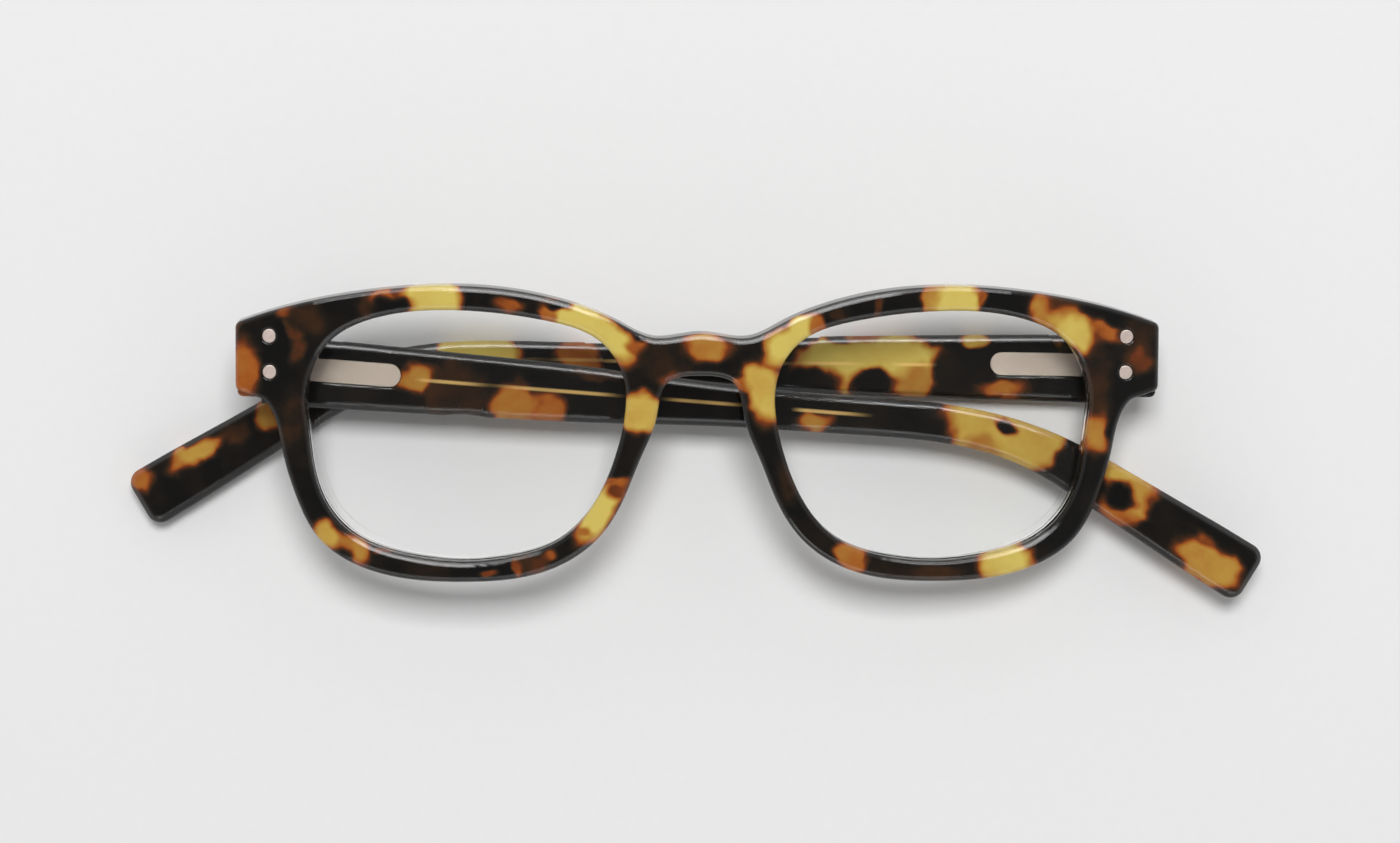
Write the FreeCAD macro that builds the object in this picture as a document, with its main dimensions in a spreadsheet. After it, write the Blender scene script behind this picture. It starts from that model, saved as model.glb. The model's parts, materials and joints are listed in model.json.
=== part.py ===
"""Eyeglasses frame of cut acetate with sprung hinges, folded and lying on its temples.

+Z is up, away from the surface that the glasses lie on.  +Y points to the brow, and +X runs along
the front, towards the right-hand temple's hinge.  The origin is the centre of the base, on the surface.
"""
import FreeCAD, Part
import math
import os
from FreeCAD import Placement, Rotation, Vector

doc = FreeCAD.newDocument("eyeglasses_frame")

# --------------------------------------------------------------------------------------------------
# Driving dimensions, in millimetres and degrees
# --------------------------------------------------------------------------------------------------
DIMENSIONS = {
    # front
    "front_thick": 4.0,
    "front_bend": 500.0,        # radius of the front's own wrap, on its front face
    "sheet_half_high": 40.0,    # the sheet that the front is cut from
    "sheet_half_angle": 9.0,
    "front_tilt": 9.0,          # brow towards the wearer's forehead: the pantoscopic angle
    "front_round": 0.7,         # rounding of the front face's edges
    "back_round": 0.5,
    "opening_round": 0.3,
    "corner_round": 1.0,
    "armpit_round": 1.5,        # under the endpiece, where it meets the rim
    "endpiece_height": 8.8,     # front face of an endpiece above its hinge pin
    "lens_centre": 32.4,        # from the middle of the bridge
    "groove_depth": 0.6,
    "groove_wide": 1.0,
    "lens_play": 0.05,
    "lens_bevel": 0.5,
    "bevel_root": 1.5,          # how far the bevel's ring reaches into the lens
    "lens_thick": 1.8,
    "lens_crown": 1.2,          # apex of the lens before the middle of the front's thickness
    "lens_front_curve": 260.0,
    "lens_back_curve": 300.0,
    # rest pose
    "shift_across": 0.4,
    "shift_up": 2.9,
    "roll": 2.55,               # the front leans on the folded temples, left side higher
    "dip_left": 1.0,            # the left temple lies across the right one
    "slope_left": 4.5,          # each hinge's own set, in the plane of the front
    "slope_right": 0.8,
    "pin_left": 7.7,            # height of each hinge on the front
    "pin_right": 8.0,
    "pin_spacing": 117.0,
    "pin_lean": 2.0,            # the pins lean apart, so that the opening temples pass one another
    # hinge
    "pin_to_lug": 2.3,
    "pin_to_face": 1.3,         # pin to the inner face of the temple
    "knuckle_radius": 1.15,
    "knuckle_gap": 2.1,         # between the two knuckles of the front leaf
    "eye_thick": 2.0,
    "knuckle_end": 2.8,         # outer end of each knuckle, from the middle of the hinge
    "screw_radius": 0.6,
    "screw_play": 0.05,
    "screw_head": 1.0,
    "screw_head_high": 0.6,
    "slot_wide": 0.3,
    "leaf_thick": 0.9,
    "leaf_wide": 5.6,
    "leaf_outer": 3.0,          # outer end of the plate, outside the pin
    "leaf_low": -3.2,
    "leaf_high": 5.0,
    "rivet_radius": 0.95,
    "rivet_pitch": 5.0,
    "rivet_across": 59.2,
    "rivet_middle": 8.85,
    "rivet_proud": 0.1,
    "lug_wide": 8.6,
    "lug_high": 9.4,
    "lug_deep": 3.6,
    "lug_low": -4.4,
    "lug_outer": 5.3,           # outer end of the lug, outside the pin
    "lug_round": 0.8,
    # spring box
    "box_start": 3.2,
    "box_length": 13.8,
    "box_wide": 3.2,
    "box_proud": 0.4,
    "box_depth": 2.7,
    "shaft_depth": 2.4,         # pin to the slider's axis
    "shaft_start": 2.5,
    "web_outer": 1.0,           # outer end of the eye's web, outside the pin
    "web_play": 0.1,            # between the web and its slot in the temple
    "web_slot_deep": 2.1,
    "shaft_radius": 0.5,
    "shaft_play": 0.05,
    "bore_radius": 0.95,
    "box_wall": 1.0,
    "slider_head": 0.85,
    "slider_head_long": 1.0,
    "slider_reach": 13.2,
    "plug_long": 1.6,
    "plug_inset": 0.3,
    "spring_wire": 0.13,
    "spring_radius": 0.72,
    "spring_turns": 8.0,
    # temples
    "temple_thick": 4.0,
    "butt_gap": 0.05,
    "temple_bend_at": 103.0,
    "temple_bend_radius": 50.0,
    "temple_drop_left": 27.5,
    "temple_drop_right": 31.5,
    "temple_tip": 40.0,
    "temple_middle": -0.5,
    "temple_round": 0.9,
    "temple_bevel": 0.72,       # along the inner face
    "temple_corner": 2.0,
    "temple_end_half": 4.15,    # half the width of the temple's end
    "core_radius": 0.55,
    "core_end": 7.0,            # end of the core before the temple's end
    "core_head_wide": 3.2,
    "core_head_long": 4.0,
    "core_head_thick": 0.9,
    "core_head_gap": 0.8,       # between the spring box and the head
    "knurls": 5,
    "knurl_pitch": 0.7,
    "knurl_wide": 0.25,
    "knurl_deep": 0.15,
    # nose pads
    "pad_across": 9.9,
    "pad_down": 4.9,
}

sheet = doc.addObject("Spreadsheet::Sheet", "dims")
for row, (alias, number) in enumerate(DIMENSIONS.items(), start=1):
    sheet.set("A%d" % row, alias)
    sheet.set("B%d" % row, str(number))
    sheet.setAlias("B%d" % row, alias)
doc.recompute()


def dim(alias):
    """The sheet's value of one driving dimension."""
    return float(getattr(sheet, alias))


SIDES = {"left": 1, "right": -1}        # sign of the way from a hinge to the middle of the front
X_AXIS = Vector(1, 0, 0)
Y_AXIS = Vector(0, 1, 0)
Z_AXIS = Vector(0, 0, 1)
PAST = 1.0                              # how far a cutting tool runs past what it cuts
SAME = 2e-3                             # two places no further apart are one place
LENS_REACH = 6.0                        # beyond the front's thickness, before and behind a lens
FRONT_REACH = (-14.0, 2.0)              # depth of the bent front, behind and before its middle


# --------------------------------------------------------------------------------------------------
# Where things lie: the front, each hinge's fixed half and each folded temple
# --------------------------------------------------------------------------------------------------
def turn(axis, degrees):
    return Placement(Vector(), Rotation(axis, degrees))


def at(x, y, z):
    return Placement(Vector(x, y, z), Rotation())


def pin_place(side):
    """Middle of a hinge pin; the right one is set by the right temple lying flat on the surface."""
    low = dim("temple_thick") + dim("pin_to_face")
    rise = dim("pin_spacing") * math.sin(math.radians(dim("roll")))
    reach = dim("pin_spacing") / 2 * math.cos(math.radians(dim("roll")))
    across = -SIDES[side] * reach + dim("shift_across")
    return at(across, dim("pin_" + side) + dim("shift_up"), low + (rise if side == "left" else 0))


def dip(side):
    return dim("dip_left") if side == "left" else 0


def pin_lean(side):
    """The pin's lean about the folded temple's length, which doesn't move the folded temple."""
    return turn(X_AXIS, -SIDES[side] * dim("pin_lean"))


def temple_place(side):
    return pin_place(side) * turn(Z_AXIS, -dim("slope_" + side)) * turn(Y_AXIS, dip(side))


def hinge_place(side):
    """The frame of the leaf and its screw: the pin along y, the front's roll about it."""
    return temple_place(side) * pin_lean(side) * turn(Y_AXIS, dim("roll") - dip(side))


def chassis_place():
    """Halfway between the pins, at the rivets' level, with the front's roll but not its tilt."""
    middle = (pin_place("left").Base + pin_place("right").Base) / 2
    return at(dim("shift_across"), dim("shift_up"), middle.z) * turn(Y_AXIS, dim("roll"))


def front_sag(x):
    """How far the bent front has fallen away at a distance from the middle."""
    return dim("front_bend") - math.sqrt(dim("front_bend") ** 2 - x ** 2)


def front_place():
    tilt = math.radians(dim("front_tilt"))
    rivet_sag = front_sag(dim("rivet_across"))
    rise = dim("endpiece_height") + rivet_sag * math.cos(tilt) - dim("rivet_middle") * math.sin(tilt)
    return chassis_place() * at(0, 0, rise) * turn(X_AXIS, dim("front_tilt"))


def lens_place(side):
    """Middle of a lens opening, in the front's frame, square to the bent front there."""
    centre = dim("lens_centre")
    angle = math.degrees(math.asin(centre / dim("front_bend")))
    depth = -front_sag(centre) - dim("front_thick") / 2
    return at(-SIDES[side] * centre, 0, depth) * turn(Y_AXIS, -SIDES[side] * angle)


def seen_from(place, shape):
    """A shape's copy in the frame that a placement describes."""
    moved = shape.copy()
    moved.Placement = place.inverse().multiply(shape.Placement)
    return moved


# --------------------------------------------------------------------------------------------------
# Small builders
# --------------------------------------------------------------------------------------------------
def primitive(kind, name, place, **bindings):
    piece = doc.addObject(kind, name)
    for size, expression in bindings.items():
        piece.setExpression(size, expression)
    piece.Placement = place
    return piece


def block(name, side, x, y, z, **bindings):
    """A box that starts x from the pin towards the middle of the front, on either side."""
    piece = primitive("Part::Box", name, Placement(), **bindings)
    doc.recompute()
    start = x if side == "left" else -x - float(piece.Length)
    piece.Placement = at(start, y, z)
    return piece


def rod_up(name, y, **bindings):
    """A cylinder on the pin's axis that starts at y."""
    return primitive("Part::Cylinder", name, at(0, y, 0) * turn(X_AXIS, -90), **bindings)


def rod_along(name, side, x, z, **bindings):
    """A cylinder along the temple, which starts x from the pin."""
    place = at(SIDES[side] * x, 0, z) * turn(Y_AXIS, 90 * SIDES[side])
    return primitive("Part::Cylinder", name, place, **bindings)


def fused(name, pieces):
    result = doc.addObject("Part::MultiFuse", name)
    result.Shapes = pieces
    result.Refine = True
    return result


def difference(name, base, tool):
    result = doc.addObject("Part::Cut", name)
    result.Base = base
    result.Tool = tool
    return result


def feature(name, shape, place):
    """A piece that Part's functions shape in its own frame, and its placement."""
    piece = doc.addObject("Part::Feature", name)
    piece.Shape = shape
    piece.Placement = place.multiply(shape.Placement)
    return piece


SUBPARTS = []


def finished(piece, node, place=None):
    """Name a sub-part after its node and put it in place."""
    if place is not None:
        piece.Placement = place
    piece.Label = node
    SUBPARTS.append(piece)
    return piece


def spline_through(points, closed=False):
    curve = Part.BSplineCurve()
    curve.interpolate(Points=[Vector(x, y, 0) for x, y in points], PeriodicFlag=closed)
    return curve.toShape()


def prism(wire, low, high):
    """A wire in the XY plane, filled and extruded from low to high."""
    face = Part.Face(wire)
    face.translate(Vector(0, 0, low))
    return face.extrude(Vector(0, 0, high - low))


# --------------------------------------------------------------------------------------------------
# Hinge: front leaf, screw, eye with its slider
# --------------------------------------------------------------------------------------------------
def make_leaf(side):
    """A plate let into the endpiece, with two knuckles that hold the screw."""
    plate = block("plate_" + side, side, -dim("leaf_outer"), dim("leaf_low"), dim("pin_to_lug"),
                  Length="dims.leaf_wide", Width="dims.leaf_high - dims.leaf_low",
                  Height="dims.leaf_thick")
    arms = [plate]
    for level, start in (("top", dim("knuckle_gap") / 2), ("low", -dim("knuckle_end"))):
        arms.append(block("arm_%s_%s" % (level, side), side, -dim("knuckle_radius"), start, 0,
                          Length="2 * dims.knuckle_radius",
                          Width="dims.knuckle_end - dims.knuckle_gap / 2",
                          Height="dims.pin_to_lug + dims.leaf_thick / 2"))
        arms.append(rod_up("knuckle_%s_%s" % (level, side), start, Radius="dims.knuckle_radius",
                           Height="dims.knuckle_end - dims.knuckle_gap / 2"))
    bore = rod_up("leaf_bore_" + side, -2 * dim("knuckle_end"), Radius="dims.screw_radius",
                  Height="4 * dims.knuckle_end")
    leaf = difference("leaf_" + side, fused("leaf_blank_" + side, arms), bore)
    return finished(leaf, "hinge_leaf_" + side, hinge_place(side))


def make_screw(side):
    """A headed pin with a driver slot, screwed down through both knuckles."""
    shank = rod_up("shank_" + side, -dim("knuckle_end"), Radius="dims.screw_radius",
                   Height="2 * dims.knuckle_end")
    head = rod_up("head_" + side, dim("knuckle_end"), Radius="dims.screw_head",
                  Height="dims.screw_head_high")
    slot_floor = dim("knuckle_end") + dim("screw_head_high") / 2
    slot = block("slot_" + side, side, -1.5 * dim("screw_head"), slot_floor, -dim("slot_wide") / 2,
                 Length="3 * dims.screw_head", Width="dims.screw_head_high", Height="dims.slot_wide")
    screw = difference("screw_" + side, fused("screw_blank_" + side, [shank, head]), slot)
    return finished(screw, "hinge_screw_" + side, hinge_place(side))


def make_eye(side):
    """The middle knuckle, with a web down to the slider that runs in the spring box."""
    half = dim("eye_thick") / 2
    ring = rod_up("eye_ring_" + side, -half, Radius="dims.knuckle_radius", Height="dims.eye_thick")
    web_low = -dim("shaft_depth") - dim("slider_head")
    web = block("eye_web_" + side, side, -dim("web_outer"), -half, web_low,
                Length="dims.box_start + dims.web_outer - dims.shaft_play", Width="dims.eye_thick",
                Height="dims.shaft_depth + dims.slider_head")
    shaft = rod_along("slider_" + side, side, dim("shaft_start"), -dim("shaft_depth"),
                      Radius="dims.shaft_radius", Height="dims.slider_reach - dims.shaft_start")
    head = rod_along("slider_head_" + side, side, dim("slider_reach") - dim("slider_head_long"),
                     -dim("shaft_depth"), Radius="dims.slider_head", Height="dims.slider_head_long")
    bore = rod_up("eye_bore_" + side, -2 * half, Radius="dims.screw_radius + dims.screw_play",
                  Height="2 * dims.eye_thick")
    for round_about_pin in (ring, bore):
        round_about_pin.Placement = pin_lean(side).multiply(round_about_pin.Placement)
    eye = difference("eye_" + side, fused("eye_blank_" + side, [ring, web, shaft, head]), bore)
    return finished(eye, "hinge_eye_" + side, temple_place(side))


def make_box(side):
    """The spring box let into the temple's inner face: a rounded bar, bored for the slider."""
    floor = -dim("pin_to_face") - dim("box_depth")
    half = dim("box_wide") / 2
    bar = block("box_bar_" + side, side, dim("box_start"), -half, floor,
                Length="dims.box_length - dims.box_wide / 2", Width="dims.box_wide",
                Height="dims.box_depth + dims.box_proud")
    end_at = SIDES[side] * (dim("box_start") + dim("box_length") - half)
    end = primitive("Part::Cylinder", "box_end_" + side, at(end_at, 0, floor),
                    Radius="dims.box_wide / 2", Height="dims.box_depth + dims.box_proud")
    bore = rod_along("box_bore_" + side, side, dim("box_start") + dim("box_wall"),
                     -dim("shaft_depth"), Radius="dims.bore_radius", Height="dims.box_length")
    neck = rod_along("box_neck_" + side, side, dim("box_start") - PAST, -dim("shaft_depth"),
                     Radius="dims.shaft_radius + dims.shaft_play", Height="3 * dims.box_wall")
    box = difference("box_" + side, fused("box_blank_" + side, [bar, end]),
                     fused("box_hole_" + side, [bore, neck]))
    return finished(box, "spring_box_" + side, temple_place(side))


def make_plug(side):
    """Closes the far end of the spring box behind the slider's travel."""
    start = dim("box_start") + dim("box_length") - dim("plug_inset") - dim("plug_long")
    plug = rod_along("plug_" + side, side, start, -dim("shaft_depth"), Radius="dims.bore_radius",
                     Height="dims.plug_long")
    return finished(plug, "spring_plug_" + side, temple_place(side).multiply(plug.Placement))


def make_spring(side):
    """A coil round the slider, between the box's end wall and the slider's head."""
    start = dim("box_start") + dim("box_wall") + 2 * dim("spring_wire")
    end = dim("slider_reach") - dim("slider_head_long") - 2 * dim("spring_wire")
    helix = Part.makeHelix((end - start) / dim("spring_turns"), end - start, dim("spring_radius"))
    section = Part.Wire(Part.makeCircle(dim("spring_wire"), Vector(dim("spring_radius"), 0, 0), Y_AXIS))
    coil = Part.Wire(helix).makePipeShell([section], True, True)
    place = at(SIDES[side] * start, 0, -dim("shaft_depth")) * turn(Y_AXIS, 90 * SIDES[side])
    return finished(feature("spring_" + side, coil, temple_place(side) * place), "hinge_spring_" + side)


# --------------------------------------------------------------------------------------------------
# Temple and its core wire
# --------------------------------------------------------------------------------------------------
TEMPLE_HALF_WIDTHS = [(0, 4.85), (20, 4.5), (38, 4.1), (52, 3.5), (64, 2.95), (78, 2.7), (92, 2.7),
                      (100, 2.8), (108, 3.05), (116, 3.45), (125, 3.75), (134, 4.05)]


def temple_line(side):
    """The temple's centre line: length along it to a point and the way across, then its end."""
    drop = math.radians(dim("temple_drop_" + side))
    radius = dim("temple_bend_radius")
    tangent = radius * math.tan(drop / 2)
    bend_start = dim("temple_bend_at") - tangent
    bend_end = bend_start + radius * drop
    end = bend_end + dim("temple_tip") - tangent
    middle = dim("temple_middle")

    def point(along):
        angle = min(max((along - bend_start) / radius, 0), drop)
        if along <= bend_start:
            x = along
            y = middle
        else:
            x = bend_start + radius * math.sin(angle)
            y = middle - radius * (1 - math.cos(angle))
            x += max(along - bend_end, 0) * math.cos(angle)
            y -= max(along - bend_end, 0) * math.sin(angle)
        return Vector(x, y, 0), Vector(math.sin(angle), math.cos(angle), 0)

    return point, end


def mirrored(shape, side):
    return shape if side == "left" else shape.mirror(Vector(), X_AXIS)


def temple_blank(side):
    """The temple's outline, extruded through its thickness, with its tip's corners rounded."""
    point, end = temple_line(side)
    butt = (-dim("pin_to_lug") + dim("butt_gap"), TEMPLE_HALF_WIDTHS[0][1])
    stations = [butt] + TEMPLE_HALF_WIDTHS + [(end, dim("temple_end_half"))]
    upper = []
    lower = []
    for along, half in stations:
        centre, across = point(along)
        upper.append(centre + across * half)
        lower.append(centre - across * half)
    edges = []
    for side_points in (upper, lower):
        edges.append(spline_through([(p.x, p.y) for p in side_points]))
    edges.append(Part.makeLine(upper[0], lower[0]))
    edges.append(Part.makeLine(upper[-1], lower[-1]))
    wire = Part.Wire(Part.sortEdges(edges)[0])
    outer = -dim("pin_to_face") - dim("temple_thick")
    blank = prism(wire, outer, -dim("pin_to_face"))
    corners = [edge for edge in blank.Edges if stands_at(edge, (upper[-1], lower[-1]))]
    return blank.makeFillet(dim("temple_corner"), corners)


def stands_at(edge, points):
    """True for a straight edge along z through one of the points."""
    ends = [vertex.Point for vertex in edge.Vertexes]
    if len(ends) != 2 or math.dist((ends[0].x, ends[0].y), (ends[1].x, ends[1].y)) > SAME:
        return False
    return any(math.dist((ends[0].x, ends[0].y), (p.x, p.y)) < SAME for p in points)


def flat_edges(shape, level):
    """The edges that lie in the plane z = level, except across the hinge end."""
    butt = -dim("pin_to_lug") + dim("butt_gap")
    found = []
    for edge in shape.Edges:
        box = edge.BoundBox
        across_the_butt = box.XMax < butt + SAME
        if abs(box.ZMin - level) < SAME and abs(box.ZMax - level) < SAME and not across_the_butt:
            found.append(edge)
    return found


def core_shape(side):
    """A stiffening wire down the middle of the temple, with a flat knurled head near the hinge."""
    point, end = temple_line(side)
    depth = -dim("pin_to_face") - dim("temple_thick") / 2
    head_start = dim("box_start") + dim("box_length") + dim("core_head_gap")
    low = dim("temple_middle") - dim("core_head_wide") / 2
    thick = dim("core_head_thick")
    head = Part.makeBox(dim("core_head_long"), dim("core_head_wide"), thick,
                        Vector(head_start, low, depth - thick / 2))
    for number in range(int(dim("knurls"))):
        start = Vector(head_start + dim("knurl_pitch") * (number + 0.7), low,
                       depth + thick / 2 - dim("knurl_deep"))
        head = head.cut(Part.makeBox(dim("knurl_wide"), dim("core_head_wide"), thick, start))
    drop = math.radians(dim("temple_drop_" + side))
    tangent = dim("temple_bend_radius") * math.tan(drop / 2)
    bend_start = dim("temple_bend_at") - tangent
    bend_end = bend_start + dim("temple_bend_radius") * drop
    wire_start = head_start + dim("core_head_long") - dim("knurl_wide")
    stops = [wire_start, bend_start, (bend_start + bend_end) / 2, bend_end, end - dim("core_end")]
    a, b, c, d, e = [point(stop)[0] + Vector(0, 0, depth) for stop in stops]
    path = Part.Wire([Part.makeLine(a, b), Part.Arc(b, c, d).toShape(), Part.makeLine(d, e)])
    section = Part.Wire(Part.makeCircle(dim("core_radius"), a, X_AXIS))
    wire = path.makePipeShell([section], True, False)
    return mirrored(head.fuse(wire).removeSplitter(), side)


def make_temple(side):
    """Acetate temple with rounded edges, hollowed for the spring box, the eye's web and the core."""
    outer = -dim("pin_to_face") - dim("temple_thick")
    blank = temple_blank(side)
    blank = blank.makeFillet(dim("temple_round"), flat_edges(blank, outer))
    blank = blank.makeChamfer(dim("temple_bevel"), flat_edges(blank, -dim("pin_to_face")))
    blank = mirrored(blank, side)
    box = doc.getObject("box_blank_" + side).Shape
    slot_half = dim("eye_thick") / 2 + dim("web_play")
    slot_start = -dim("pin_to_lug") - PAST
    web_slot = Part.makeBox(dim("box_start") - slot_start, 2 * slot_half, dim("web_slot_deep") + PAST)
    web_slot.translate(Vector(slot_start, -slot_half, -dim("pin_to_face") - dim("web_slot_deep")))
    blank = blank.cut([box, mirrored(web_slot, side)])
    return finished(feature("temple_" + side, blank.cut(core_shape(side)), temple_place(side)),
                    "temple_" + side)


def make_core(side):
    return finished(feature("core_" + side, core_shape(side), temple_place(side)), "core_wire_" + side)


# --------------------------------------------------------------------------------------------------
# Front, lenses, rivets and nose pads
# --------------------------------------------------------------------------------------------------
BROW = [(0, 12.1), (6.6, 11.5), (11.3, 13.6), (16.8, 15.9), (24.7, 17.8), (35.6, 18.5), (46.5, 17.5),
        (55.6, 15.7), (63.9, 13.0)]
RIM = [(60.2, 2.5), (58.9, 0.6), (57.6, -4.6), (55.8, -11.0), (52.6, -17.0), (45.6, -21.3),
       (33.0, -22.8), (20.5, -20.9), (14.1, -16.6), (10.5, -11.0), (8.2, -5.3), (6.2, -0.3),
       (5.7, 2.4), (4.6, 5.2), (2.2, 6.15), (0, 6.25)]
ENDPIECE_SIDE = (64.0, 3.7)
LENS = [(54.2, 0.5), (53.8, 5.6), (50.8, 10.7), (44.0, 14.1), (32.5, 15.1), (21.2, 13.8),
        (13.3, 10.6), (10.4, 5.4), (10.3, 0.8), (11.7, -5.3), (14.4, -11.5), (19.3, -16.8),
        (26.0, -19.2), (33.0, -19.9), (40.4, -19.1), (47.5, -16.5), (51.7, -11.8), (53.5, -5.6)]
NOSE_PAD = [(-1.6, 5.8), (-0.2, 4.3), (0.7, 0.9), (2.1, -3.3), (2.4, -5.3), (1.4, -5.7), (-0.1, -3.7),
            (-1.4, -0.1), (-2.6, 4.1)]
PAD_SECTIONS = [(0.0, 1.0, 0.0), (2.0, 0.86, 0.1), (3.4, 0.55, 0.2)]    # depth, size, way outwards


def both_halves(half):
    """An open curve's points, mirrored about the middle of the bridge and put in order."""
    return half + [(-x, y) for x, y in reversed(half)][1:]


def front_outline():
    brow = both_halves(list(reversed(BROW)))
    rim = both_halves(RIM)
    corner = BROW[-1]
    side_x, side_y = ENDPIECE_SIDE
    edges = [spline_through(brow), spline_through(rim)]
    for sign in (1, -1):
        top = Vector(sign * corner[0], corner[1], 0)
        foot = Vector(sign * side_x, side_y, 0)
        inner = Vector(sign * RIM[0][0], RIM[0][1], 0)
        edges.append(Part.makeLine(top, foot))
        edges.append(Part.makeLine(foot, inner))
    return Part.Wire(Part.sortEdges(edges)[0])


def front_shell():
    """The bent sheet that the front is cut from."""
    outer = dim("front_bend")
    inner = outer - dim("front_thick")
    reach = math.radians(dim("sheet_half_angle"))
    half_high = dim("sheet_half_high")

    def rim_point(radius, angle):
        return Vector(radius * math.sin(angle), -half_high, radius * math.cos(angle) - outer)

    ends = [(rim_point(outer, a), rim_point(inner, a)) for a in (-reach, reach)]
    arcs = [Part.Arc(rim_point(r, -reach), rim_point(r, 0), rim_point(r, reach)).toShape()
            for r in (outer, inner)]
    sides = [Part.makeLine(*pair) for pair in ends]
    face = Part.Face(Part.Wire(Part.sortEdges(arcs + sides)[0]))
    return face.extrude(Vector(0, 2 * half_high, 0))


def lens_wire(side, growth):
    """The lens opening's outline in the lens's own frame, grown outwards by an allowance."""
    sign = -SIDES[side]
    points = [Vector(sign * (x - dim("lens_centre")), y, 0) for x, y in LENS]
    curve = Part.BSplineCurve()
    curve.interpolate(Points=points, PeriodicFlag=True)
    grown = []
    for point in points:
        tangent = curve.tangent(curve.parameter(point))[0]
        outward = Vector(tangent.y, -tangent.x, 0) * sign
        grown.append(point + outward * growth)
    curve.interpolate(Points=grown, PeriodicFlag=True)
    return Part.Wire(curve.toShape())


def lens_prism(side, growth, low, high):
    piece = prism(lens_wire(side, growth), low, high)
    piece.Placement = lens_place(side)
    return piece


def make_lug(side):
    """The block behind an endpiece that the hinge leaf is let into and the temple butts against."""
    lug = Part.makeBox(dim("lug_wide"), dim("lug_high"), dim("lug_deep"))
    upright = [edge for edge in lug.Edges if edge.BoundBox.ZLength > dim("lug_round")]
    lug = lug.makeFillet(dim("lug_round"), upright)
    start = dim("lug_outer") - dim("lug_wide") if side == "right" else -dim("lug_outer")
    lug.translate(Vector(start, dim("lug_low"), dim("pin_to_lug")))
    square_to_front = hinge_place(side) * turn(Z_AXIS, dim("slope_" + side))
    return seen_from(front_place(), moved(lug, square_to_front))


def moved(shape, place):
    copy = shape.copy()
    copy.Placement = place.multiply(shape.Placement)
    return copy


def on_cylinder(edge, radius):
    """True for an edge that lies on the front's bent face of that radius."""
    first, last = edge.ParameterRange
    for share in (0.1, 0.5, 0.9):
        p = edge.valueAt(first + share * (last - first))
        if abs(math.hypot(p.x, p.z + dim("front_bend")) - radius) > SAME:
            return False
    return True


def rounded_blank():
    """The outline cut from the bent sheet, with its corners and its long edges rounded."""
    blank = prism(front_outline(), *FRONT_REACH)
    outer_corners = mirrored_points([BROW[-1], ENDPIECE_SIDE])
    blank = blank.makeFillet(dim("corner_round"), [e for e in blank.Edges if stands_at(e, outer_corners)])
    inner_corners = mirrored_points([RIM[0]])
    blank = blank.makeFillet(dim("armpit_round"), [e for e in blank.Edges if stands_at(e, inner_corners)])
    body = blank.common(front_shell())
    body = body.makeFillet(dim("front_round"), [e for e in body.Edges if on_cylinder(e, dim("front_bend"))])
    back = dim("front_bend") - dim("front_thick")
    return body.makeFillet(dim("back_round"), [e for e in body.Edges if on_cylinder(e, back)])


def mirrored_points(points):
    return [Vector(sign * x, y, 0) for sign in (1, -1) for x, y in points]


def opening_edges(body, radius):
    """The lens openings' edges, each a closed one, on the front's bent face of that radius."""
    return [edge for edge in body.Edges if edge.isClosed() and on_cylinder(edge, radius)]


def make_front(cutters):
    """Bent acetate front, opened and grooved for the lenses, with a lug behind each endpiece."""
    body = rounded_blank()
    for side in SIDES:
        body = body.cut(lens_prism(side, 0, -LENS_REACH, LENS_REACH))
    body = body.makeFillet(dim("front_round"), opening_edges(body, dim("front_bend")))
    back = dim("front_bend") - dim("front_thick")
    body = body.makeFillet(dim("opening_round"), opening_edges(body, back))
    body = body.fuse([make_lug(side) for side in SIDES])
    half = dim("groove_wide") / 2
    body = body.cut([lens_prism(side, dim("groove_depth"), -half, half) for side in SIDES])
    body = body.cut([seen_from(front_place(), tool) for tool in cutters])
    return finished(feature("front", body, front_place()), "front")


def make_rivet(side, level):
    """A domed rivet through the endpiece, which ends on the hinge leaf's plate."""
    x = -SIDES[side] * dim("rivet_across")
    y = dim("rivet_middle") + level * dim("rivet_pitch") / 2
    face = -front_sag(dim("rivet_across"))
    long = dim("endpiece_height")
    shank = Part.makeCylinder(dim("rivet_radius"), long, Vector(x, y, face + dim("rivet_proud") - long))
    rim = [edge for edge in shank.Edges if edge.BoundBox.ZLength < 1e-3 and edge.BoundBox.ZMin > face]
    shank = moved(shank.makeFillet(dim("rivet_proud") * 0.9, rim), front_place())
    leaf_top = dim("pin_to_lug") + dim("leaf_thick")
    corner = Vector(-dim("lug_wide"), -dim("lug_high"), leaf_top - long)
    below = Part.makeBox(2 * dim("lug_wide"), 2 * dim("lug_high"), long, corner)
    shank = shank.cut(moved(below, hinge_place(side)))
    name = "rivet_%s_%s" % (side, "upper" if level > 0 else "lower")
    return finished(feature(name, seen_from(front_place(), shank), front_place()), name)


def make_nose_pad(side):
    """A narrow acetate pad bonded behind the rim at the nose, which the rim hides from the front."""
    sign = -SIDES[side]
    back = -dim("front_thick")
    sections = []
    for depth, size, outwards in PAD_SECTIONS:
        points = [(sign * (dim("pad_across") + outwards + size * x), size * y - dim("pad_down"))
                  for x, y in NOSE_PAD]
        wire = Part.Wire(spline_through(points, closed=True))
        wire.translate(Vector(0, 0, back - depth))
        sections.append(wire)
    pad = Part.makeLoft(sections, True, False).cut(front_shell())
    return finished(feature("pad_" + side, pad, front_place()), "nose_pad_" + side)


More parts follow.
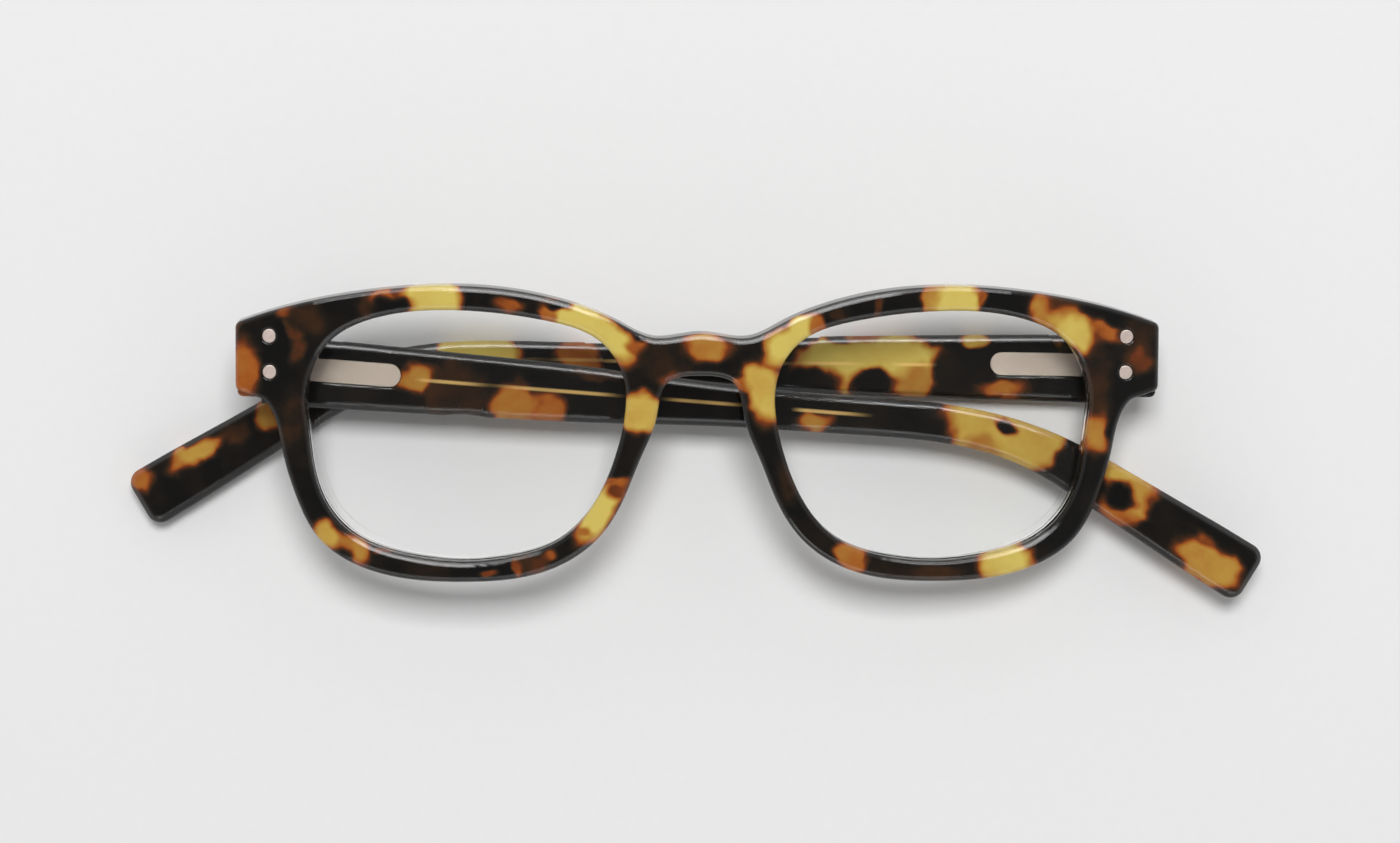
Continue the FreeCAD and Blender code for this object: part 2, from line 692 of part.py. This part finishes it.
def make_lens(side):
    """A meniscus lens that fills its opening, with a bevel that sits in the groove."""
    apex = dim("lens_crown")
    front = Part.makeSphere(dim("lens_front_curve"), Vector(0, 0, apex - dim("lens_front_curve")))
    back = Part.makeSphere(dim("lens_back_curve"),
                           Vector(0, 0, apex - dim("lens_thick") - dim("lens_back_curve")))
    disc = prism(lens_wire(side, -dim("lens_play")), -LENS_REACH, LENS_REACH).common(front).cut(back)
    half = dim("groove_wide") / 2 - dim("lens_play")
    bevel = prism(lens_wire(side, dim("lens_bevel")), -half, half)
    hole = prism(lens_wire(side, -dim("bevel_root")), -LENS_REACH, LENS_REACH)
    lens = disc.fuse(bevel.cut(hole)).removeSplitter()
    return finished(feature("lens_" + side, lens, front_place() * lens_place(side)), "lens_" + side)


def check_document():
    """Stop if the document holds a failed object or a sub-part without a sound solid."""
    for piece in doc.Objects:
        if "Invalid" in piece.State or "Error" in piece.State:
            raise RuntimeError("%s did not compute: %s" % (piece.Name, piece.State))
    for piece in SUBPARTS:
        if piece.Shape.isNull() or not piece.Shape.isValid() or not piece.Shape.Solids:
            raise RuntimeError("%s has no sound solid" % piece.Label)


def main():
    for side in SIDES:
        make_leaf(side)
        make_screw(side)
        make_eye(side)
        make_box(side)
        make_plug(side)
        make_spring(side)
        make_core(side)
        make_lens(side)
        make_nose_pad(side)
        for level in (1, -1):
            make_rivet(side, level)
    doc.recompute()
    for side in SIDES:
        make_temple(side)
    let_in = [piece.Shape for piece in SUBPARTS if piece.Label.startswith(("hinge_leaf", "rivet"))]
    make_front(let_in)
    doc.recompute()
    check_document()
    os.makedirs("parts", exist_ok=True)
    for piece in SUBPARTS:
        piece.Shape.exportStep("parts/%s.step" % piece.Label)
        box = piece.Shape.optimalBoundingBox(False)
        print("%-22s %d solid(s) %9.2f mm3  x %.1f..%.1f  y %.1f..%.1f  z %.2f..%.2f" % (
            piece.Label, len(piece.Shape.Solids), piece.Shape.Volume,
            box.XMin, box.XMax, box.YMin, box.YMax, box.ZMin, box.ZMax))


if __name__ == "__main__":
    main()
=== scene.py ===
"""Folded tortoiseshell acetate glasses on a pale floor.  Metres; the frame's own coordinates."""
import json
import math
import bpy
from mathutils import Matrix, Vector

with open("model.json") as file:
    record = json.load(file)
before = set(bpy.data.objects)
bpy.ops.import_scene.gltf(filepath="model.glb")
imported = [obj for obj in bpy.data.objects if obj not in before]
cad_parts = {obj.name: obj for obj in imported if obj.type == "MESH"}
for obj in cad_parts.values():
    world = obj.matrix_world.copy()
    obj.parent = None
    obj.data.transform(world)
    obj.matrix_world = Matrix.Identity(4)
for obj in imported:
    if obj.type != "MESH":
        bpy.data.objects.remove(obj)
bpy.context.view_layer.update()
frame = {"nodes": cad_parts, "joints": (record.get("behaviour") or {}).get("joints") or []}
MM = 0.001

# --------------------------------------------------------------------------------------------------
# Node helpers
# --------------------------------------------------------------------------------------------------


class Graph:
    """A material's node tree, with short ways to add and link nodes."""

    def __init__(self, name):
        self.material = bpy.data.materials.new(name)
        self.material.use_nodes = True
        self.tree = self.material.node_tree
        self.tree.nodes.clear()
        self.output = self.tree.nodes.new("ShaderNodeOutputMaterial")
        coordinates = self.tree.nodes.new("ShaderNodeTexCoord")
        self.place = self.scaled(coordinates.outputs["Object"], 1 / MM)

    def link(self, source, socket):
        if hasattr(source, "links"):
            self.tree.links.new(source, socket)
        else:
            socket.default_value = source

    def scaled(self, vector, factor):
        node = self.tree.nodes.new("ShaderNodeVectorMath")
        node.operation = "SCALE"
        self.link(vector, node.inputs[0])
        node.inputs["Scale"].default_value = factor
        return node.outputs[0]

    def vector(self, operation, first, second):
        node = self.tree.nodes.new("ShaderNodeVectorMath")
        node.operation = operation
        self.link(first, node.inputs[0])
        self.link(second, node.inputs[1])
        return node.outputs["Value" if operation in ("LENGTH", "DOT_PRODUCT") else "Vector"]

    def math(self, operation, first, second=0.0, clamp=False):
        node = self.tree.nodes.new("ShaderNodeMath")
        node.operation = operation
        node.use_clamp = clamp
        self.link(first, node.inputs[0])
        self.link(second, node.inputs[1])
        return node.outputs[0]

    def noise(self, scale, detail=2.0, roughness=0.5, vector=None, colour=False):
        node = self.tree.nodes.new("ShaderNodeTexNoise")
        self.link(vector if vector is not None else self.place, node.inputs["Vector"])
        node.inputs["Scale"].default_value = scale
        node.inputs["Detail"].default_value = detail
        node.inputs["Roughness"].default_value = roughness
        return node.outputs["Color" if colour else "Fac"]

    def mapped(self, vector, location=(0, 0, 0), rotation=(0, 0, 0), scale=(1, 1, 1)):
        node = self.tree.nodes.new("ShaderNodeMapping")
        node.vector_type = "TEXTURE"
        self.link(vector, node.inputs["Vector"])
        node.inputs["Location"].default_value = location
        node.inputs["Rotation"].default_value = rotation
        node.inputs["Scale"].default_value = scale
        return node.outputs[0]

    def range(self, value, low, high, to_low=0.0, to_high=1.0, smooth=True):
        node = self.tree.nodes.new("ShaderNodeMapRange")
        node.interpolation_type = "SMOOTHSTEP" if smooth else "LINEAR"
        self.link(value, node.inputs["Value"])
        node.inputs["From Min"].default_value = low
        node.inputs["From Max"].default_value = high
        node.inputs["To Min"].default_value = to_low
        node.inputs["To Max"].default_value = to_high
        return node.outputs["Result"]

    def mix(self, factor, first, second, colour=False):
        node = self.tree.nodes.new("ShaderNodeMix")
        node.data_type = "RGBA" if colour else "FLOAT"
        inputs = [socket for socket in node.inputs if socket.enabled]
        self.link(factor, inputs[0])
        self.link(first, inputs[1])
        self.link(second, inputs[2])
        return [socket for socket in node.outputs if socket.enabled][0]

    def ramp(self, factor, stops):
        node = self.tree.nodes.new("ShaderNodeValToRGB")
        self.link(factor, node.inputs["Fac"])
        elements = node.color_ramp.elements
        while len(elements) < len(stops):
            elements.new(0.5)
        for element, (position, colour) in zip(elements, stops):
            element.position = position
            element.color = (*colour, 1)
        return node.outputs["Color"]

    def bump(self, height, strength, distance):
        node = self.tree.nodes.new("ShaderNodeBump")
        self.link(height, node.inputs["Height"])
        node.inputs["Strength"].default_value = strength
        node.inputs["Distance"].default_value = distance
        return node.outputs["Normal"]

    def principled(self, **values):
        node = self.tree.nodes.new("ShaderNodeBsdfPrincipled")
        for name, value in values.items():
            self.link(value, node.inputs[name.replace("_", " ")])
        self.tree.links.new(node.outputs[0], self.output.inputs["Surface"])
        return node


# --------------------------------------------------------------------------------------------------
# Tortoiseshell acetate
# --------------------------------------------------------------------------------------------------
# A tone of 0 is the black of the dark flakes, 1 the clear honey between them.
TORTOISE = [(0.0, (0.0050, 0.0045, 0.0042)), (0.12, (0.013, 0.009, 0.006)), (0.26, (0.045, 0.019, 0.008)),
            (0.38, (0.15, 0.034, 0.009)), (0.48, (0.34, 0.090, 0.014)), (0.62, (0.40, 0.185, 0.032)),
            (0.80, (0.52, 0.33, 0.062)), (1.0, (0.63, 0.49, 0.115))]
DARK = 0.03
ARRIS = 0.6                     # radius of the polished arrises, millimetres
DRIFT = 3.6                     # how far the noise pushes a flake's edge about, millimetres
CLOUD = 0.34                    # how much the tone wanders inside a flake
SOFT_EDGE = 1.9                 # width of a flake's edge, millimetres
# The core wire's glint below is a painted highlight: a bright line painted into the temples' colour where
# the wire lies.
CORE_OFFSET = 0.3               # the core wire's distance from the temple's middle line, millimetres
CORE_WIDE = 0.35                # half the width of its glint, millimetres
CORE_REACH = (18.6, 84.0)       # its two ends, millimetres from the hinge pin
CORE_FADE = (2.0, 6.0)          # how far it fades at those ends, millimetres
PAINTED_GLINT_STRENGTH = 0.60
PAINTED_GLINT_COLOUR = (0.95, 0.62, 0.22, 1)


def flakes(graph, place, patches):
    """Lay soft-edged elliptical patches of tone over the dark ground, in the order given."""
    tone = DARK
    for x, y, half_x, half_y, angle, patch_tone in patches:
        local = graph.mapped(place, (x, y, 0), (0, 0, math.radians(angle)), (half_x, half_y, 1e6))
        away = graph.vector("LENGTH", local, (0, 0, 0))
        softness = min(1.1, SOFT_EDGE / min(half_x, half_y))
        mask = graph.range(away, 1.05 + softness / 2, 1.05 - softness / 2)
        tone = graph.mix(mask, tone, patch_tone)
    return tone


def painted_core_glint(graph, colour, pin, along, start, end):
    """A painted highlight: the brass core wire lies under the acetate, and its glint is painted into the
    colour as a thin bright line down the folded temple.
    """
    across = Vector((-along.y, along.x, 0)) * (1 if along.x > 0 else -1)
    seen = graph.vector("SUBTRACT", graph.place, tuple(pin))
    reach = graph.vector("DOT_PRODUCT", seen, tuple(along))
    offset = graph.math("ADD", graph.vector("DOT_PRODUCT", seen, tuple(across)), CORE_OFFSET)
    offset = graph.math("ABSOLUTE", offset)
    line = graph.range(offset, CORE_WIDE, CORE_WIDE * 0.3)
    fade_in = graph.range(reach, start, start + CORE_FADE[0])
    fade_out = graph.range(reach, end, end - CORE_FADE[1])
    inside = graph.math("MULTIPLY", fade_in, fade_out)
    patchy = graph.range(graph.noise(0.11, 1.0, 0.4), 0.32, 0.60)
    strength = graph.math("MULTIPLY", graph.math("MULTIPLY", line, inside), patchy)
    return graph.mix(graph.math("MULTIPLY", strength, PAINTED_GLINT_STRENGTH), colour, PAINTED_GLINT_COLOUR, colour=True)


def acetate(name, patches, core=None):
    """Polished cellulose acetate: flaked colour, rounded arrises and faint polishing waves."""
    graph = Graph(name)
    drift = graph.vector("SUBTRACT", graph.noise(0.26, 1.6, 0.5, colour=True), (0.5, 0.5, 0.5))
    tone = flakes(graph, graph.vector("ADD", graph.place, graph.scaled(drift, DRIFT)), patches)
    cloud = graph.math("MULTIPLY", graph.math("SUBTRACT", graph.noise(0.20, 3.0, 0.6), 0.5), CLOUD)
    tone = graph.math("ADD", tone, cloud, clamp=True)
    colour = graph.ramp(tone, TORTOISE)
    # Painted highlight: on a temple, the core wire's glint is painted into the colour.
    if core is not None:
        colour = painted_core_glint(graph, colour, *core)
    edge = graph.tree.nodes.new("ShaderNodeBevel")
    edge.samples = 4
    edge.inputs["Radius"].default_value = ARRIS * MM
    normal = graph.bump(graph.noise(0.12, 1.0, 0.4), 0.02, 0.0001)
    graph.link(edge.outputs[0], normal.node.inputs["Normal"])
    roughness = graph.range(graph.noise(2.5, 3.0, 0.6), 0.35, 0.75, 0.012, 0.03, smooth=False)
    graph.principled(Base_Color=colour, Roughness=roughness, IOR=1.48, Normal=normal)
    return graph.material


# x, y, half width, half height (millimetres), turn (degrees), tone
FRONT_FLAKES = [
    # left endpiece
    (-62.2, 9.8, 2.3, 3.8, 0, 0.50), (-63.2, 14.7, 0.7, 1.9, 0, 0.30), (-55.2, 17.9, 1.4, 1.2, 0, 0.40),
    (-54.9, 15.4, 0.8, 1.2, 0, 0.30), (-54.7, 12.7, 1.3, 1.7, 0, 0.29), (-52.4, 17.3, 2.0, 2.1, 0, 0.17),
    (-55.2, 3.4, 2.0, 3.4, 0, 0.16),
    # left brow
    (-44.6, 19.0, 1.4, 2.8, 0, 0.22), (-42.2, 20.1, 2.0, 1.3, 0, 0.50), (-39.4, 20.5, 1.3, 1.1, 0, 0.34),
    (-35.9, 19.3, 3.4, 4.5, 0, 1.00), (-41.2, 18.3, 2.5, 1.4, 0, 0.0), (-25.4, 18.4, 1.9, 1.2, -8, 0.46),
    (-14.0, 15.3, 6.6, 2.9, -34, 1.00), (-19.5, 17.2, 1.2, 1.1, 0, 0.50),
    (-18.1, 18.9, 1.7, 0.8, -15, 0.02), (-7.6, 13.2, 1.9, 1.1, -10, 0.48),
    # bridge and the left side of the nose
    (-3.6, 11.2, 3.8, 3.4, 0, 0.16), (-3.3, 8.6, 1.5, 0.8, 0, 0.30), (2.1, 13.2, 3.1, 2.0, 0, 0.62),
    (-7.2, 4.0, 3.2, 2.7, 0, 0.86),
    # left rim
    (-13.4, -9.7, 2.0, 4.6, -32, 1.00), (-10.8, -7.2, 1.6, 1.4, 0, 0.38), (-10.9, -5.2, 1.2, 0.9, 0, 0.48),
    (-15.3, -12.3, 1.5, 0.9, 0, 0.50), (-20.2, -15.4, 1.1, 1.2, 0, 0.42), (-22.2, -17.3, 2.3, 1.6, 0, 0.27),
    (-24.4, -17.6, 0.7, 1.5, 0, 0.44), (-28.5, -18.4, 1.2, 0.7, 0, 0.44), (-36.9, -18.0, 2.6, 1.8, 0, 0.15),
    (-50.6, -13.0, 2.4, 1.5, -38, 0.80), (-46.6, -14.5, 1.4, 2.4, 35, 0.64),
    (-42.9, -14.7, 1.3, 0.6, 0, 0.36),
    # right side of the nose
    (9.3, 7.0, 2.4, 4.4, 8, 0.84), (10.6, 12.6, 1.2, 2.4, 0, 0.44), (14.2, 14.0, 4.0, 2.6, 38, 1.00),
    (17.2, 16.1, 1.1, 1.5, 0, 0.50), (6.3, 7.6, 1.2, 0.8, 0, 0.46),
    # right brow
    (20.4, 17.5, 1.3, 0.9, 0, 0.22), (25.4, 18.6, 0.6, 1.4, 0, 0.32), (33.0, 19.2, 1.5, 4.0, 0, 0.62),
    (36.4, 19.3, 3.0, 4.4, 0, 1.00), (48.3, 17.8, 2.4, 2.6, 0, 0.62), (51.0, 19.0, 2.3, 1.3, -15, 0.30),
    (53.0, 15.2, 3.4, 2.4, -38, 0.90), (42.6, 18.7, 3.4, 2.4, -8, 0.0), (39.6, 20.2, 0.9, 1.2, 0, 0.46),
    # right endpiece and temporal rim
    (57.0, 15.6, 1.9, 1.5, -15, 0.52), (57.9, 17.6, 2.4, 0.9, -17, 0.02), (61.9, 14.9, 2.4, 2.2, 0, 0.17),
    (62.1, 11.3, 2.3, 1.5, 0, 0.34), (56.0, 8.6, 1.9, 5.6, 0, 0.17), (55.7, 1.2, 1.9, 2.8, 0, 0.62),
    # right rim's lower edge and its inner side
    (43.4, -16.7, 3.9, 2.6, 15, 0.95), (31.0, -18.3, 8.0, 1.8, 0, 0.13), (33.3, -18.2, 2.3, 1.4, 0, 0.25),
    (21.6, -15.9, 2.4, 2.4, -20, 0.57), (13.0, -5.0, 1.3, 3.2, 25, 0.15),
]
TEMPLE_FLAKES = {
    "left": [
        (-39.2, 8.8, 2.6, 2.2, 0, 0.60), (-33.0, 6.5, 4.2, 4.5, 0, 0.20), (-25.4, 5.2, 3.0, 3.6, 0, 0.57),
        (-20.6, 4.2, 2.4, 2.2, 0, 0.52), (-13.4, 5.5, 4.0, 3.6, 0, 0.03), (-13.4, 9.6, 3.5, 0.9, 0, 0.30),
        (17.0, 2.8, 2.4, 1.3, 0, 0.62), (43.6, 1.4, 8.4, 4.8, -16, 0.80), (40.6, -0.6, 2.2, 1.4, -10, 0.56),
        (43.9, 2.2, 1.6, 0.9, -20, 0.02), (53.4, -2.6, 2.4, 4.2, -10, 0.02),
        (60.5, -5.6, 3.6, 2.4, -30, 0.84), (60.0, -9.8, 3.0, 2.2, -30, 0.50),
        (63.2, -8.3, 2.6, 2.6, 0, 0.72), (59.8, -7.5, 2.0, 1.6, -20, 0.02),
        (67.4, -10.6, 4.2, 2.4, -32, 0.02), (72.0, -17.0, 5.0, 2.6, -30, 0.66),
        (71.8, -13.6, 1.6, 0.9, -30, 0.40),
    ],
    "right": [
        (51.9, 14.2, 0.9, 0.7, 0, 0.34), (43.5, 7.4, 3.2, 1.3, 0, 0.50), (39.8, 14.8, 1.6, 1.0, 0, 0.80),
        (24.4, 11.0, 9.6, 4.8, 0, 0.95), (31.2, 8.0, 2.4, 3.0, 0, 0.58), (16.2, 8.0, 4.3, 2.5, 0, 0.03),
        (25.2, 8.2, 3.1, 2.4, 0, 0.02), (20.4, 14.9, 1.5, 0.8, 0, 0.10), (24.2, 15.0, 2.4, 0.8, 0, 0.50),
        (35.4, 10.0, 2.0, 2.2, 0, 0.10),
        (-30.7, 12.0, 5.6, 5.0, 0, 0.95), (-16.2, 12.0, 2.9, 4.0, 0, 0.52), (-60.6, 3.8, 1.7, 1.9, 0, 0.62),
        (-65.0, 1.4, 1.9, 1.5, 0, 0.24), (-70.8, -1.6, 3.6, 1.6, 30, 0.76),
        (-78.6, -5.4, 1.9, 2.0, 0, 0.50),
    ],
}


def temple_acetate(side):
    """A temple's acetate, with the core wire's glint painted into its colour as a highlight, laid along it
    from its own hinge pin.
    """
    joints = {joint["name"]: joint for joint in frame["joints"]}
    pin = Vector(joints["fold_" + side]["pos_m"]) / MM
    along = Vector(joints["spring_" + side]["axis"])
    return acetate("temple_acetate_painted_glint_" + side, TEMPLE_FLAKES[side], (pin, along, *CORE_REACH))


front_material = acetate("front_acetate", FRONT_FLAKES)
temple_materials = {side: temple_acetate(side) for side in ("left", "right")}

# --------------------------------------------------------------------------------------------------
# Glass and metal
# --------------------------------------------------------------------------------------------------
LENS_TINT = (0.975, 0.98, 0.978, 1)


def lens_glass():
    """Clear, faintly grey lens that lets the lamps through to what lies under it."""
    graph = Graph("lens_glass")
    dust = graph.range(graph.noise(0.8, 4.0, 0.6), 0.3, 0.8, 0.0, 0.02, smooth=False)
    glass = graph.principled(Base_Color=LENS_TINT, Roughness=dust, IOR=1.22, Transmission_Weight=1.0)
    clear = graph.tree.nodes.new("ShaderNodeBsdfTransparent")
    clear.inputs["Color"].default_value = LENS_TINT
    rays = graph.tree.nodes.new("ShaderNodeLightPath")
    surface = glass
    for kind in ("Is Diffuse Ray", "Is Shadow Ray"):
        either = graph.tree.nodes.new("ShaderNodeMixShader")
        graph.link(rays.outputs[kind], either.inputs[0])
        graph.link(surface.outputs[0], either.inputs[1])
        graph.link(clear.outputs[0], either.inputs[2])
        surface = either
    graph.link(surface.outputs[0], graph.output.inputs["Surface"])
    return graph.material


def satin_metal(name, colour, roughness, streaks=(1, 1, 1)):
    """Tumbled and lightly brushed metal."""
    graph = Graph(name)
    grain = graph.noise(3.0, 4.0, 0.65, graph.mapped(graph.place, scale=streaks))
    tint = graph.ramp(grain, [(0.3, tuple(0.86 * c for c in colour)), (0.7, colour)])
    rough = graph.range(grain, 0.3, 0.7, roughness, roughness + 0.14, smooth=False)
    normal = graph.bump(grain, 0.12, 0.00005)
    graph.principled(Base_Color=tint, Metallic=1.0, Roughness=rough, Normal=normal)
    return graph.material


glass = lens_glass()
rivet_metal = satin_metal("rivet_metal", (0.50, 0.42, 0.38), 0.45)
hinge_metal = satin_metal("hinge_metal", (0.19, 0.16, 0.135), 0.48, (0.15, 1, 1))
core_metal = satin_metal("core_metal", (0.72, 0.55, 0.30), 0.40)


def material_for(node):
    if node.startswith(("front", "nose_pad")):
        return front_material
    if node.startswith("temple"):
        return temple_materials[node.split("_")[1]]
    if node.startswith("lens"):
        return glass
    if node.startswith("rivet"):
        return rivet_metal
    if node.startswith("core"):
        return core_metal
    return hinge_metal


for node, piece in frame["nodes"].items():
    for slot in piece.material_slots:
        slot.material = material_for(node)

# --------------------------------------------------------------------------------------------------
# Stage, camera and light
# --------------------------------------------------------------------------------------------------
FLOOR_HALF = 1.5                # metres
PAPER_DARK = 0.80
PAPER_LIGHT = 0.81
CAMERA_PLACE = (0.8, 2.9, 514)  # millimetres
CAMERA_LENS = 92.6              # millimetres, on a 36 mm sensor
# Lamps, in metres and watts.  The strips are long and narrow, one behind the brow and one in front.
KEY_PLACE = (0.02, 0.34, 1.08)
KEY_SIZE = (0.42, 0.34)
KEY_POWER = 8.8
STRIP_OUT = 0.80
STRIP_UP = 0.74
STRIP_LONG = 1.0
FAR_STRIP_WIDE = 0.26
FAR_STRIP_POWER = 14.0
NEAR_STRIP_WIDE = 0.16
NEAR_STRIP_POWER = 3.0
# The world's brightness overhead and towards the horizon
CEILING = 0.12
HORIZON = 0.68


def make_floor():
    """A sheet of pale paper."""
    mesh = bpy.data.meshes.new("floor")
    corners = [(x * FLOOR_HALF, y * FLOOR_HALF, 0) for x, y in ((-1, -1), (1, -1), (1, 1), (-1, 1))]
    mesh.from_pydata(corners, [], [(0, 1, 2, 3)])
    floor = bpy.data.objects.new("floor", mesh)
    bpy.context.scene.collection.objects.link(floor)
    graph = Graph("floor_paper")
    grain = graph.noise(0.6, 3.0, 0.6)
    colour = graph.ramp(grain, [(0.3, (PAPER_DARK,) * 3), (0.7, (PAPER_LIGHT,) * 3)])
    graph.principled(Base_Color=colour, Roughness=0.8, Specular_IOR_Level=0.1)
    mesh.materials.append(graph.material)


def make_camera():
    """Straight above the glasses, the brow upwards."""
    data = bpy.data.cameras.new("camera")
    data.sensor_width = 36
    data.lens = CAMERA_LENS
    data.clip_start = 0.01
    camera = bpy.data.objects.new("camera", data)
    camera.location = [along * MM for along in CAMERA_PLACE]
    bpy.context.scene.collection.objects.link(camera)
    bpy.context.scene.camera = camera


def make_lamp(name, place, size, power, only_gloss=False):
    """A rectangular lamp aimed at the glasses; only_gloss leaves it out of the light on the floor."""
    data = bpy.data.lights.new(name, "AREA")
    data.shape = "RECTANGLE"
    data.size = size[0]
    data.size_y = size[1]
    data.energy = power
    lamp = bpy.data.objects.new(name, data)
    lamp.location = place
    lamp.rotation_euler = Vector(place).to_track_quat("Z", "Y").to_euler()
    lamp.visible_diffuse = not only_gloss
    bpy.context.scene.collection.objects.link(lamp)


def make_world():
    """A dark ceiling over a pale studio: the reflections overhead stay dark, the horizon is light."""
    world = bpy.data.worlds.new("studio")
    world.use_nodes = True
    tree = world.node_tree
    coordinates = tree.nodes.new("ShaderNodeTexCoord")
    parts = tree.nodes.new("ShaderNodeSeparateXYZ")
    shade = tree.nodes.new("ShaderNodeMapRange")
    shade.interpolation_type = "SMOOTHSTEP"
    tree.links.new(coordinates.outputs["Generated"], parts.inputs[0])
    tree.links.new(parts.outputs["Z"], shade.inputs["Value"])
    for name, value in (("From Min", 0.45), ("From Max", 0.95), ("To Min", HORIZON), ("To Max", CEILING)):
        shade.inputs[name].default_value = value
    tree.nodes["Background"].inputs["Color"].default_value = (1, 1, 1, 1)
    tree.links.new(shade.outputs["Result"], tree.nodes["Background"].inputs["Strength"])
    bpy.context.scene.world = world


make_floor()
make_camera()
make_lamp("key", KEY_PLACE, KEY_SIZE, KEY_POWER)
for strip, out, wide, power in (("far_strip", STRIP_OUT, FAR_STRIP_WIDE, FAR_STRIP_POWER),
                                ("near_strip", -STRIP_OUT, NEAR_STRIP_WIDE, NEAR_STRIP_POWER)):
    make_lamp(strip, (0, out, STRIP_UP), (STRIP_LONG, wide), power, only_gloss=True)
make_world()
bpy.context.scene.view_settings.view_transform = "Standard"
